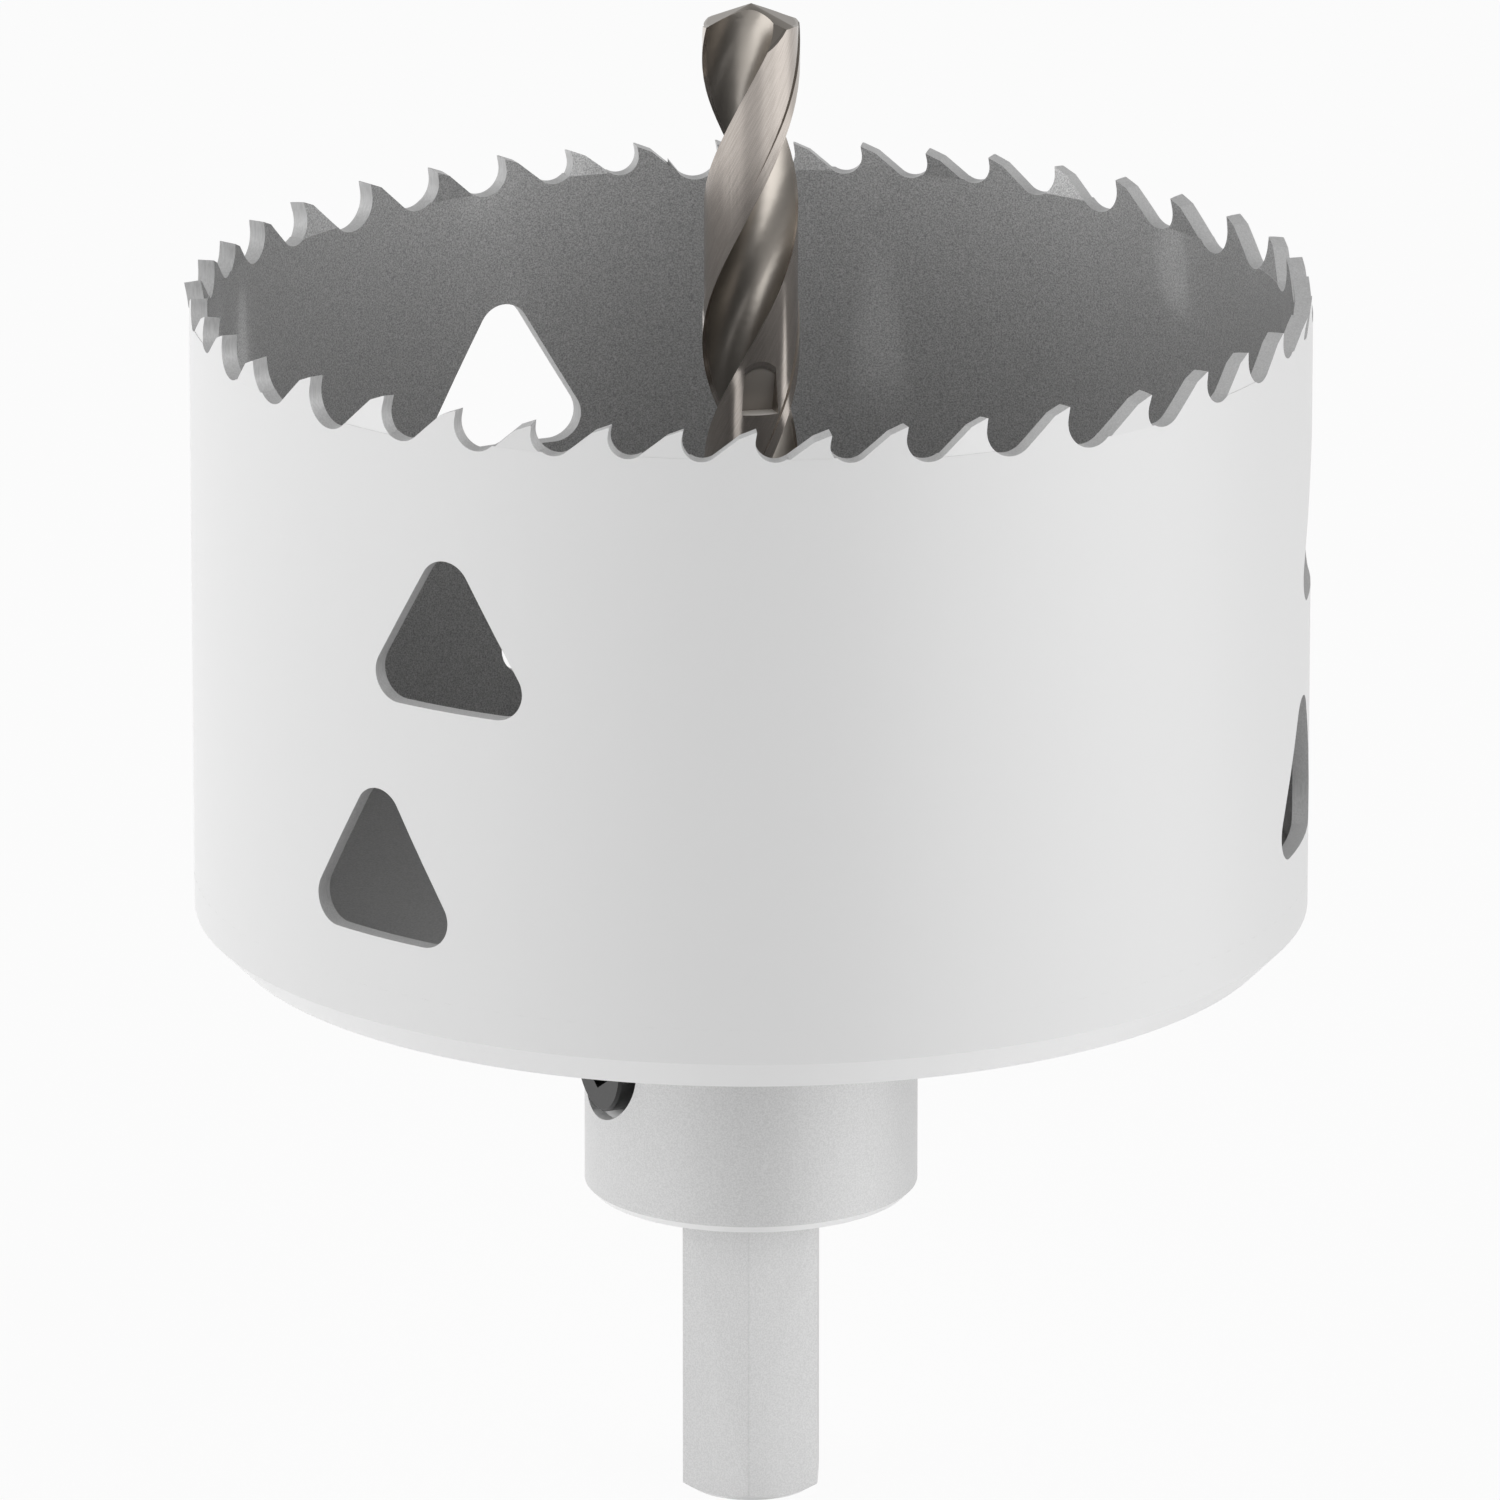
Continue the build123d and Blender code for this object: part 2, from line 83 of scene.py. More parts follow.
class Lay(Enum):
    """Which way the fine lines of a finish run: how much finer the grain is along x, y and z."""

    ALL_WAYS = (1.0, 1.0, 1.0)
    ROUND = (0.05, 0.05, 1.0)
    ALONG = (1.0, 1.0, 0.05)


def linear(hex_colour: str) -> tuple[float, float, float, float]:
    """Turns an sRGB hex colour into linear RGBA.

    Formula: the standard's own curve, which is a straight line near black and a power above it.

    Args:
        hex_colour: Six hex digits with a leading #.

    Returns:
        Red, green and blue on the linear scale, and an alpha of 1.
    """
    channels = np.array([int(hex_colour[i:i + 2], 16) for i in (1, 3, 5)]) / 255
    low = channels / 12.92
    high = ((channels + 0.055) / 1.055) ** 2.4
    red, green, blue = np.where(channels <= 0.04045, low, high)
    return float(red), float(green), float(blue), 1.0


def add_node(tree: Tree, kind: str, inputs: dict | None = None, **settings: Any) -> Node:
    """Adds a node with its settings, and fills or links its inputs.

    Args:
        tree: Node tree that gets the node.
        kind: Blender's own name of the node type.
        inputs: Input names or numbers, each with a constant, a socket to link, or a node whose
            first live output is linked.
        settings: Properties of the node, such as its operation.

    Returns:
        The new node.
    """
    node = tree.nodes.new(kind)
    for name, value in settings.items():
        setattr(node, name, value)
    for key, value in (inputs or {}).items():
        if isinstance(value, Node):
            value = next(socket for socket in value.outputs if socket.enabled)
        if isinstance(value, Socket):
            tree.links.new(value, node.inputs[key])
        else:
            node.inputs[key].default_value = value
    return node


def span(
    value: Node | Socket, limits: Range, at_start: float = 0.0, at_end: float = 1.0
) -> dict[str, Any]:
    """Lists the inputs of a range node, which blends between two limits and holds beyond them.

    Args:
        value: What is looked at.
        limits: Its values at the start and at the end of the blend.
        at_start: Result at the start.
        at_end: Result at the end.

    Returns:
        The node's inputs.
    """
    start, end = limits
    return {"Value": value, "From Min": start, "From Max": end, "To Min": at_start, "To Max": at_end}


def radius_and_height(tree: Tree) -> tuple[Node, Socket]:
    """Finds a point's distance from the axis and its height, in metres.

    Formula: the length of the point's x and y, and its z.

    Args:
        tree: Node tree to build in.

    Returns:
        A node with the radius and a socket with the height.
    """
    point = add_node(tree, "ShaderNodeTexCoord").outputs["Object"]
    flat = add_node(tree, VECTORS, {0: point, 1: LEVEL_PART}, operation="MULTIPLY")
    radius = add_node(tree, VECTORS, {0: flat}, operation="LENGTH")
    return radius, add_node(tree, "ShaderNodeSeparateXYZ", {0: point}).outputs["Z"]


def facing(tree: Tree) -> tuple[Node, Socket]:
    """Finds which way the surface faces.

    Formula: the unit normal dotted with the unit vector from the axis to the point, and the
    normal's own height.

    Args:
        tree: Node tree to build in.

    Returns:
        A node with 1 outwards to -1 inwards, and a socket with 1 upwards to -1 downwards.
    """
    place = add_node(tree, "ShaderNodeTexCoord").outputs
    flat = add_node(tree, VECTORS, {0: place["Object"], 1: LEVEL_PART}, operation="MULTIPLY")
    away = add_node(tree, VECTORS, {0: flat}, operation="NORMALIZE")
    outward = add_node(tree, VECTORS, {0: away, 1: place["Normal"]}, operation="DOT_PRODUCT")
    return outward, add_node(tree, "ShaderNodeSeparateXYZ", {0: place["Normal"]}).outputs["Z"]


def grain(
    tree: Tree, size_mm: float, lay: Lay = Lay.ALL_WAYS, detail: float = 3.0, point: Node | None = None
) -> Node:
    """Makes a noise whose grains are so many millimetres wide.

    Args:
        tree: Node tree to build in.
        size_mm: Width of one grain across the lay.
        lay: Which way the grains are drawn out.
        detail: Number of finer layers in the noise.
        point: Node with the place to read, or None for the object's own point.

    Returns:
        A node with a value about 0.5, between 0 and 1.
    """
    place = point or add_node(tree, "ShaderNodeTexCoord").outputs["Object"]
    scaled = add_node(tree, "ShaderNodeMapping", {"Vector": place, "Scale": lay.value})
    looks = {"Vector": scaled, "Scale": 1 / (size_mm * MM), "Detail": detail, "Roughness": NOISE_ROUGHNESS}
    return add_node(tree, "ShaderNodeTexNoise", looks)


def speckled(tree: Tree, noise: Node, dark: str, light: str) -> Node:
    """Blends two tones by a noise.

    Args:
        tree: Node tree to build in.
        noise: Node with the noise.
        dark: Hex colour where the noise is low.
        light: Hex colour where it is high.

    Returns:
        A node with the colour.
    """
    share = add_node(tree, RANGE, span(noise, NOISE_RANGE), **SMOOTH)
    return add_node(tree, MIX, {0: share, COLOUR_A: linear(dark), COLOUR_B: linear(light)}, **COLOURS)


class Finish:
    """A surface finish that builds one procedural material."""

    name: str = "finish"

    def material(self) -> bpy.types.Material:
        """Builds the material.

        Returns:
            A node material whose principled shader has this finish's inputs.
        """
        made = bpy.data.materials.new(self.name)
        made.use_nodes = True
        tree = made.node_tree
        tree.nodes.clear()
        shader = add_node(tree, "ShaderNodeBsdfPrincipled", self.dress(tree))
        add_node(tree, "ShaderNodeOutputMaterial", {"Surface": shader})
        return made

    def dress(self, tree: Tree) -> dict[str, Any]:
        """Works out the shader's inputs; each finish has its own.

        Args:
            tree: Node tree of the material.

        Returns:
            The shader's inputs by name, each with a constant, a socket or a node.
        """
        raise NotImplementedError


@dataclass(frozen=True)
class CupFinish(Finish):
    """Spring-steel cup: pale satin lacquer outside, oiled grey phosphate inside, bare where it was cut.

    The lacquer gives a soft sheen that holds a broad reflection of each lamp. The phosphate is a
    dull crystal grain, drawn coarser than it is so that it shows, under a film of oil, so it also
    mirrors the light from the slots, blurred. Punched and milled edges are mid grey, with fine
    lines across the strip.
    """

    name: str = "lacquered_and_phosphated_spring_steel"
    lacquer: str = LACQUER
    lacquer_roughness: float = 0.4
    lacquer_metallic: float = 0.16
    lacquer_relief: float = 0.1
    phosphate_dark: str = "#929292"
    phosphate_light: str = "#CACACA"
    phosphate_roughness: float = 0.5
    phosphate_metallic: float = 0.5
    phosphate_relief: float = 0.4
    crystal_mm: float = 0.11
    relief_mm: float = 0.03
    cut_dark: str = "#BCBCBC"
    cut_light: str = "#CACACA"
    cut_metallic: float = 0.15
    cut_line_mm: float = 0.12
    film_weight: float = 1.0
    film_roughness: float = 0.11
    outer_facing: Range = (0.55, 0.75)
    inner_facing: Range = (-0.55, -0.75)

    def dress(self, tree: Tree) -> dict[str, Any]:
        """Blends the three surfaces by which way each face looks.

        Args:
            tree: Node tree of the material.

        Returns:
            The shader's inputs by name.
        """
        outward, _ = facing(tree)
        outer = add_node(tree, RANGE, span(outward, self.outer_facing), **SMOOTH)
        inner = add_node(tree, RANGE, span(outward, self.inner_facing), **SMOOTH)
        crystals = grain(tree, self.crystal_mm)
        dull = speckled(tree, crystals, self.phosphate_dark, self.phosphate_light)
        lines = grain(tree, self.cut_line_mm, Lay.ALONG, 2.0)
        bare = speckled(tree, lines, self.cut_dark, self.cut_light)
        uncoated = add_node(tree, MIX, {0: inner, COLOUR_A: bare, COLOUR_B: dull}, **COLOURS)
        tones = {0: outer, COLOUR_A: uncoated, COLOUR_B: linear(self.lacquer)}
        metals = span(inner, WHOLE, self.cut_metallic, self.phosphate_metallic)
        metal = {0: outer, NUMBER_A: add_node(tree, RANGE, metals, **SMOOTH), NUMBER_B: self.lacquer_metallic}
        reliefs = span(outer, WHOLE, self.phosphate_relief, self.lacquer_relief)
        relief = add_node(tree, RANGE, reliefs, **SMOOTH)
        rough = span(outer, WHOLE, self.phosphate_roughness, self.lacquer_roughness)
        bump = {"Height": crystals, "Strength": relief, "Distance": self.relief_mm * MM}
        return {
            "Base Color": add_node(tree, MIX, tones, **COLOURS),
            "Roughness": add_node(tree, RANGE, rough, **SMOOTH),
            "Metallic": add_node(tree, MIX, metal, **NUMBERS),
            "Coat Weight": add_node(tree, RANGE, span(inner, WHOLE, 0.0, self.film_weight), **SMOOTH),
            "Coat Roughness": self.film_roughness,
            "Normal": add_node(tree, BUMP, bump),
        }


@dataclass(frozen=True)
class PlateFinish(Finish):
    """Base plate of mild steel: the cup's lacquer below and on its rim, phosphate inside the cup.

    The chamfer and underside are painted paler than the rim: painted light from the floor's bounce.
    """

    name: str = "lacquered_and_phosphated_plate"
    lacquer: str = LACQUER
    # Paler tone painted on the chamfer and underside: painted light that stands in for the floor's bounce.
    painted_bounce_light: str = "#F3F3F3"
    roughness: float = 0.4
    metallic: float = 0.16
    lacquer_relief: float = 0.04
    phosphate_dark: str = "#9A9A9A"
    phosphate_light: str = "#B2B2B2"
    phosphate_relief: float = 0.4
    crystal_mm: float = 0.15
    relief_mm: float = 0.03
    rim_facing: Range = (0.85, 0.95)
    floor_facing: Range = (0.5, 0.7)

    def dress(self, tree: Tree) -> dict[str, Any]:
        """Blends lacquer and phosphate by which way a face looks.

        Args:
            tree: Node tree of the material.

        Returns:
            The shader's inputs by name.
        """
        outward, upward = facing(tree)
        crystals = grain(tree, self.crystal_mm)
        dull = speckled(tree, crystals, self.phosphate_dark, self.phosphate_light)
        # Painted light: faces that look less outwards than the rim, the chamfer and underside, get the paler
        # tone.
        rim = add_node(tree, RANGE, span(outward, self.rim_facing), **SMOOTH)
        tones = {0: rim, COLOUR_A: linear(self.painted_bounce_light), COLOUR_B: linear(self.lacquer)}
        outside = add_node(tree, MIX, tones, **COLOURS)
        inside = add_node(tree, RANGE, span(upward, self.floor_facing), **SMOOTH)
        reliefs = span(inside, WHOLE, self.lacquer_relief, self.phosphate_relief)
        relief = add_node(tree, RANGE, reliefs, **SMOOTH)
        bump = {"Height": crystals, "Strength": relief, "Distance": self.relief_mm * MM}
        return {
            "Base Color": add_node(tree, MIX, {0: inside, COLOUR_A: outside, COLOUR_B: dull}, **COLOURS),
            "Roughness": self.roughness,
            "Metallic": self.metallic,
            "Normal": add_node(tree, BUMP, bump),
        }


@dataclass(frozen=True)
class TurnedSteel(Finish):
    """Free-cutting steel, turned and tumbled: an even satin with a fine sparkle and faint tool marks.

    The sparkle is drawn coarser than it is so that it shows. The chamfers that look down are
    painted near white, a painted highlight. The countersink round the screw is a duller, drilled
    face, and its lower side, which looks up, is painted near white, a painted light.
    """

    screw_middle: tuple[float, float, float]
    screw_way: tuple[float, float, float]
    name: str = "turned_and_tumbled_steel"
    dark: str = "#C8C8C8"
    light: str = "#D8D8D8"
    metallic: float = 0.38
    roughness: float = 0.48
    roughness_spread: float = 0.05
    sparkle_mm: float = 0.12
    mark_mm: float = 0.2
    relief: float = 0.12
    relief_mm: float = 0.02
    # Near white, a painted highlight on the chamfers that look down.
    chamfer: str = "#F2F2F2"
    chamfer_facing: Range = (-0.5, -0.6)
    underside_facing: Range = (-0.9, -0.8)
    # Near white, a painted light on the countersink's lower side, which looks up.
    countersink: str = "#E8E8E8"
    countersink_metallic: float = 0.1
    countersink_radii_mm: Range = (4.7, 4.69)
    countersink_facing: Range = (0.1, 0.3)

    def painted_light_countersink(self, tree: Tree, upward: Socket) -> Node:
        """Marks the countersink's lower side, which looks up near the screw's axis and gets the painted
        light.

        Formula: the distance from the screw's axis is the length of the cross product of its
        unit vector and the way from its middle to the point.

        Args:
            tree: Node tree to build in.
            upward: Socket with 1 upwards to -1 downwards.

        Returns:
            A node with 1 in the countersink and 0 elsewhere.
        """
        point = add_node(tree, "ShaderNodeTexCoord").outputs["Object"]
        apart = add_node(tree, VECTORS, {0: point, 1: self.screw_middle}, operation="SUBTRACT")
        across = add_node(tree, VECTORS, {0: apart, 1: self.screw_way}, operation="CROSS_PRODUCT")
        distance = add_node(tree, VECTORS, {0: across}, operation="LENGTH")
        outer, inner = self.countersink_radii_mm
        near = add_node(tree, RANGE, span(distance, (outer * MM, inner * MM)), **SMOOTH)
        level = add_node(tree, RANGE, span(upward, self.countersink_facing), **SMOOTH)
        return add_node(tree, MATH, {0: near, 1: level}, operation="MULTIPLY")

    def dress(self, tree: Tree) -> dict[str, Any]:
        """Makes metal with a fine sparkle and tool marks that run round the axis.

        Args:
            tree: Node tree of the material.

        Returns:
            The shader's inputs by name.
        """
        _, upward = facing(tree)
        sparkle = grain(tree, self.sparkle_mm, detail=2.0)
        steel = speckled(tree, sparkle, self.dark, self.light)
        # Painted highlight: chamfers that look down, between these two facings, are painted near white.
        slanted = add_node(tree, RANGE, span(upward, self.chamfer_facing), **SMOOTH)
        not_below = add_node(tree, RANGE, span(upward, self.underside_facing), **SMOOTH)
        painted_highlight_mask = add_node(tree, MATH, {0: slanted, 1: not_below}, operation="MULTIPLY")
        steel = add_node(tree, MIX, {0: painted_highlight_mask, COLOUR_A: steel, COLOUR_B: linear(self.chamfer)}, **COLOURS)
        # Painted light: the countersink's lower side is painted near white and made less metallic.
        painted_light_countersink = self.painted_light_countersink(tree, upward)
        tones = {0: painted_light_countersink, COLOUR_A: steel, COLOUR_B: linear(self.countersink)}
        metal = span(painted_light_countersink, WHOLE, self.metallic, self.countersink_metallic)
        low, high = self.roughness - self.roughness_spread, self.roughness + self.roughness_spread
        marks = grain(tree, self.mark_mm, Lay.ROUND, 2.0)
        relief = {"Strength": self.relief, "Distance": self.relief_mm * MM}
        lines = add_node(tree, BUMP, {"Height": marks, **relief})
        return {
            "Base Color": add_node(tree, MIX, tones, **COLOURS),
            "Roughness": add_node(tree, RANGE, span(sparkle, NOISE_RANGE, low, high), **SMOOTH),
            "Metallic": add_node(tree, RANGE, metal, **SMOOTH),
            "Normal": add_node(tree, BUMP, {"Height": sparkle, "Normal": lines, **relief}),
        }


@dataclass(frozen=True)
class DrillSteel(Finish):
    """High-speed steel: darker in the flutes, with lands and point ground to a warm grey.

    The grinding lines follow the helix, drawn coarser than they are so that they show, and the
    point's facets are one even tone. The notch was milled, so its floor is dull, and its level
    ledge is painted near white, a painted highlight.
    """

    notch_way: tuple[float, float, float]
    notch_bottom: float
    name: str = "rolled_and_ground_high_speed_steel"
    flute: str = "#A09A93"
    flute_roughness: float = 0.34
    land_dark: str = "#BAB2AB"
    land_light: str = "#C8C0B9"
    land_roughness: float = 0.2
    land_depths_mm: Range = (0.4, 0.2)
    facet: str = "#9A948D"
    facet_facing: Range = (0.35, 0.5)
    # Near white, a painted highlight on the notch's level ledge.
    ledge: str = "#F4F0EA"
    ledge_facing: Range = (0.8, 0.9)
    milled: str = "#8E8882"
    milled_metallic: float = 0.15
    radius_mm: float = 3.575
    lead_mm: float = 41.15
    line_mm: float = 0.1
    relief: float = 0.08
    relief_mm: float = 0.02
    notch_rise_mm: float = 5.0
    notch_foot_mm: float = 0.1
    notch_head_mm: float = 0.5
    notch_depths_mm: Range = (0.3, 0.4)
    notch_facing: Range = (0.88, 0.92)
    notch_reach: Range = (0.64, 0.74)

    def untwisted(self, tree: Tree) -> Node:
        """Turns each point back by the helix, so that lines along z follow the flutes.

        Formula: the point turned about the axis by minus a full turn for each lead of height.

        Args:
            tree: Node tree to build in.

        Returns:
            A node with the turned point.
        """
        _, height = radius_and_height(tree)
        point = add_node(tree, "ShaderNodeTexCoord").outputs["Object"]
        angle = add_node(tree, MATH, {0: height, 1: -2 * math.pi / (self.lead_mm * MM)}, operation="MULTIPLY")
        turn = {"Vector": point, "Angle": angle}
        return add_node(tree, "ShaderNodeVectorRotate", turn, rotation_type="Z_AXIS")

    def below_land(self, depths_mm: Range) -> Range:
        """Gives the radii in metres at two depths below the land."""
        start, end = depths_mm
        return (self.radius_mm - start) * MM, (self.radius_mm - end) * MM

    def notch(self, tree: Tree, radius: Node, upward: Socket, height: Socket) -> tuple[Node, Node]:
        """Marks the milled notch.

        Formula: its ledge looks up between the notch's foot and head. Its floor lies there too,
        below the land, where both the normal and the way from the axis point at the notch.

        Args:
            tree: Node tree to build in.
            radius: Node with the distance from the axis.
            upward: Socket with 1 upwards to -1 downwards.
            height: Socket with the height.

        Returns:
            Nodes with 1 on the floor and with 1 on the ledge.
        """
        foot, head = self.notch_bottom, self.notch_bottom + self.notch_rise_mm * MM
        above = add_node(tree, RANGE, span(height, (foot - self.notch_foot_mm * MM, foot)), **SMOOTH)
        below = add_node(tree, RANGE, span(height, (head, head - self.notch_head_mm * MM)), **SMOOTH)
        beside = add_node(tree, MATH, {0: above, 1: below}, operation="MULTIPLY")
        deep = add_node(tree, RANGE, span(radius, self.below_land(self.notch_depths_mm)), **SMOOTH)
        floor = add_node(tree, MATH, {0: beside, 1: deep}, operation="MULTIPLY")
        place = add_node(tree, "ShaderNodeTexCoord").outputs
        flat = add_node(tree, VECTORS, {0: place["Object"], 1: LEVEL_PART}, operation="MULTIPLY")
        away = add_node(tree, VECTORS, {0: flat}, operation="NORMALIZE")
        for way, limits in ((place["Normal"], self.notch_facing), (away, self.notch_reach)):
            toward = add_node(tree, VECTORS, {0: way, 1: self.notch_way}, operation="DOT_PRODUCT")
            share = add_node(tree, RANGE, span(toward, limits), **SMOOTH)
            floor = add_node(tree, MATH, {0: floor, 1: share}, operation="MULTIPLY")
        level = add_node(tree, RANGE, span(upward, self.ledge_facing), **SMOOTH)
        return floor, add_node(tree, MATH, {0: level, 1: beside}, operation="MULTIPLY")

    def dress(self, tree: Tree) -> dict[str, Any]:
        """Makes metal that is darker in the flutes, with fine lines along the helix.

        Args:
            tree: Node tree of the material.

        Returns:
            The shader's inputs by name.
        """
        radius, height = radius_and_height(tree)
        _, upward = facing(tree)
        ground = add_node(tree, RANGE, span(radius, self.below_land(self.land_depths_mm)), **SMOOTH)
        facets = add_node(tree, RANGE, span(upward, self.facet_facing), **SMOOTH)
        lines = grain(tree, self.line_mm, Lay.ALONG, point=self.untwisted(tree))
        land = speckled(tree, lines, self.land_dark, self.land_light)
        colour = add_node(tree, MIX, {0: ground, COLOUR_A: linear(self.flute), COLOUR_B: land}, **COLOURS)
        floor, ledge = self.notch(tree, radius, upward, height)
        # The last of these mixes paints the level ledge near white, a painted highlight.
        for share, tone in ((facets, self.facet), (floor, self.milled), (ledge, self.ledge)):
            colour = add_node(tree, MIX, {0: share, COLOUR_A: colour, COLOUR_B: linear(tone)}, **COLOURS)
        dull = add_node(tree, MATH, {0: floor, 1: ledge}, operation="MAXIMUM")
        rough = span(ground, WHOLE, self.flute_roughness, self.land_roughness)
        bump = {"Height": lines, "Strength": self.relief, "Distance": self.relief_mm * MM}
        return {
            "Base Color": colour,
            "Roughness": add_node(tree, RANGE, rough, **SMOOTH),
            "Metallic": add_node(tree, RANGE, span(dull, WHOLE, 1.0, self.milled_metallic), **SMOOTH),
            "Normal": add_node(tree, BUMP, bump),
        }


@dataclass(frozen=True)
class BlackOxide(Finish):
    """Alloy screw, hardened and blackened: almost black with a low oily sheen and a fine etch.

    The etch is drawn coarser than it is so that it shows.
    """

    name: str = "black_oxide_steel"
    dark: str = "#202020"
    light: str = "#303030"
    etch_mm: float = 0.3
    metallic: float = 0.6
    roughness: float = 0.38

    def dress(self, tree: Tree) -> dict[str, Any]:
        """Makes a dark, partly metallic surface with a fine etch.

        Args:
            tree: Node tree of the material.

        Returns:
            The shader's inputs by name.
        """
        tones = {0: grain(tree, self.etch_mm), COLOUR_A: linear(self.dark), COLOUR_B: linear(self.light)}
        return {
            "Base Color": add_node(tree, MIX, tones, **COLOURS),
            "Roughness": self.roughness,
            "Metallic": self.metallic,
        }


@dataclass(frozen=True)
class WeldSteel(Finish):
    """Weld metal under the phosphate: a little smoother and darker than the strip, with a scaly grain."""

    name: str = "phosphated_weld_metal"
    dark: str = "#666564"
    light: str = "#858483"
    scale_mm: float = 0.4
    metallic: float = 0.5
    roughness: float = 0.45
    relief: float = 0.3
    relief_mm: float = 0.05

    def dress(self, tree: Tree) -> dict[str, Any]:
        """Makes a half metallic grey with a scaly grain.

        Args:
            tree: Node tree of the material.

        Returns:
            The shader's inputs by name.
        """
        scales = grain(tree, self.scale_mm)
        tones = {0: scales, COLOUR_A: linear(self.dark), COLOUR_B: linear(self.light)}
        bump = {"Height": scales, "Strength": self.relief, "Distance": self.relief_mm * MM}
        return {
            "Base Color": add_node(tree, MIX, tones, **COLOURS),
            "Roughness": self.roughness,
            "Metallic": self.metallic,
            "Normal": add_node(tree, BUMP, bump),
        }


def grid_faces(rows: int, columns: int, close_rows: bool, close_columns: bool) -> np.ndarray:
    """Numbers the quads of a grid of points.

    Args:
        rows: Number of rows of points.
        columns: Number of points in a row.
        close_rows: Whether the last row joins the first.
        close_columns: Whether each row's last point joins its first.

    Returns:
        An array with four point numbers a quad.
    """
    numbers = np.arange(rows * columns).reshape(rows, columns)
    if close_rows:
        numbers = np.vstack([numbers, numbers[:1]])
    if close_columns:
        numbers = np.hstack([numbers, numbers[:, :1]])
    quads = np.stack([numbers[:-1, :-1], numbers[1:, :-1], numbers[1:, 1:], numbers[:-1, 1:]], axis=-1)
    return quads.reshape(-1, 4)


def face_outwards(mesh: bpy.types.Mesh) -> None:
    """Turns every face of a closed mesh outwards.

    Args:
        mesh: Closed mesh that is changed.
    """
    work = bmesh.new()
    work.from_mesh(mesh)
    bmesh.ops.recalc_face_normals(work, faces=work.faces)
    work.to_mesh(mesh)
    work.free()


def finished(name: str, mesh: bpy.types.Mesh, finish: Finish) -> bpy.types.Object:
    """Puts a mesh into the scene as a piece of the saw.

    Args:
        name: Name of the piece.
        mesh: Its mesh, in the frame's metres.
        finish: Its finish.

    Returns:
        The new object, which rides on the saw.
    """
    piece = bpy.data.objects.new(name, mesh)
    bpy.context.scene.collection.objects.link(piece)
    mesh.materials.clear()
    mesh.materials.append(finish.material())
    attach(piece, BODY)
    log.info("%s: %d faces", name, len(mesh.polygons))
    return piece


@dataclass
class CadPiece:
    """A carried-over CAD node with its own finish."""

    node: str
    finish: Finish
    slot: str

    def build(self) -> None:
        """Gives the node its material."""
        piece = NODES[self.node]
        piece.data.materials.clear()
        piece.data.materials.append(self.finish.material())
        log.info("%s: %d faces", self.node, len(piece.data.polygons))


@dataclass
class WeldBead:
    """Bead in the corner between the strip and the base plate, inside the cup."""

    leg_mm: float = 0.75
    buried_share: float = 0.4
    ripple_mm: float = 0.07
    ripple_pitch_mm: float = 1.1
    steps_per_ripple: int = 6
    section_steps: int = 10
    wall_mm: float = 1.2

    def build(self) -> None:
        """Makes the bead from a round section carried round the axis.

        Formula: a circle of the leg's radius about the corner, flatter where it lies in the
        steel, whose radius swells with a sine along the seam, so that the bead has the scales of
        a weld laid in short steps.
        """
        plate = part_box("base_plate")[1]
        corner_radius = plate.x - self.wall_mm * MM
        ripples = round(2 * math.pi * corner_radius / (self.ripple_pitch_mm * MM))
        along = np.linspace(0, 2 * np.pi, ripples * self.steps_per_ripple, endpoint=False)[:, None]
        section = np.linspace(0, 2 * np.pi, self.section_steps, endpoint=False)[None, :]
        swell = (self.leg_mm + self.ripple_mm * np.sin(ripples * along)) * MM
        sideways, upwards = np.cos(section), np.sin(section)
        radius = corner_radius + swell * sideways * np.where(sideways > 0, self.buried_share, 1.0)
        height = plate.z + swell * upwards * np.where(upwards < 0, self.buried_share, 1.0)
        points = np.stack([radius * np.cos(along), radius * np.sin(along), height], axis=-1).reshape(-1, 3)
        mesh = bpy.data.meshes.new("weld_bead")
        faces = grid_faces(len(along), self.section_steps, close_rows=True, close_columns=True)
        mesh.from_pydata(points.tolist(), [], faces.tolist())
        face_outwards(mesh)
        mesh.shade_smooth()
        finished("weld_bead", mesh, WeldSteel())


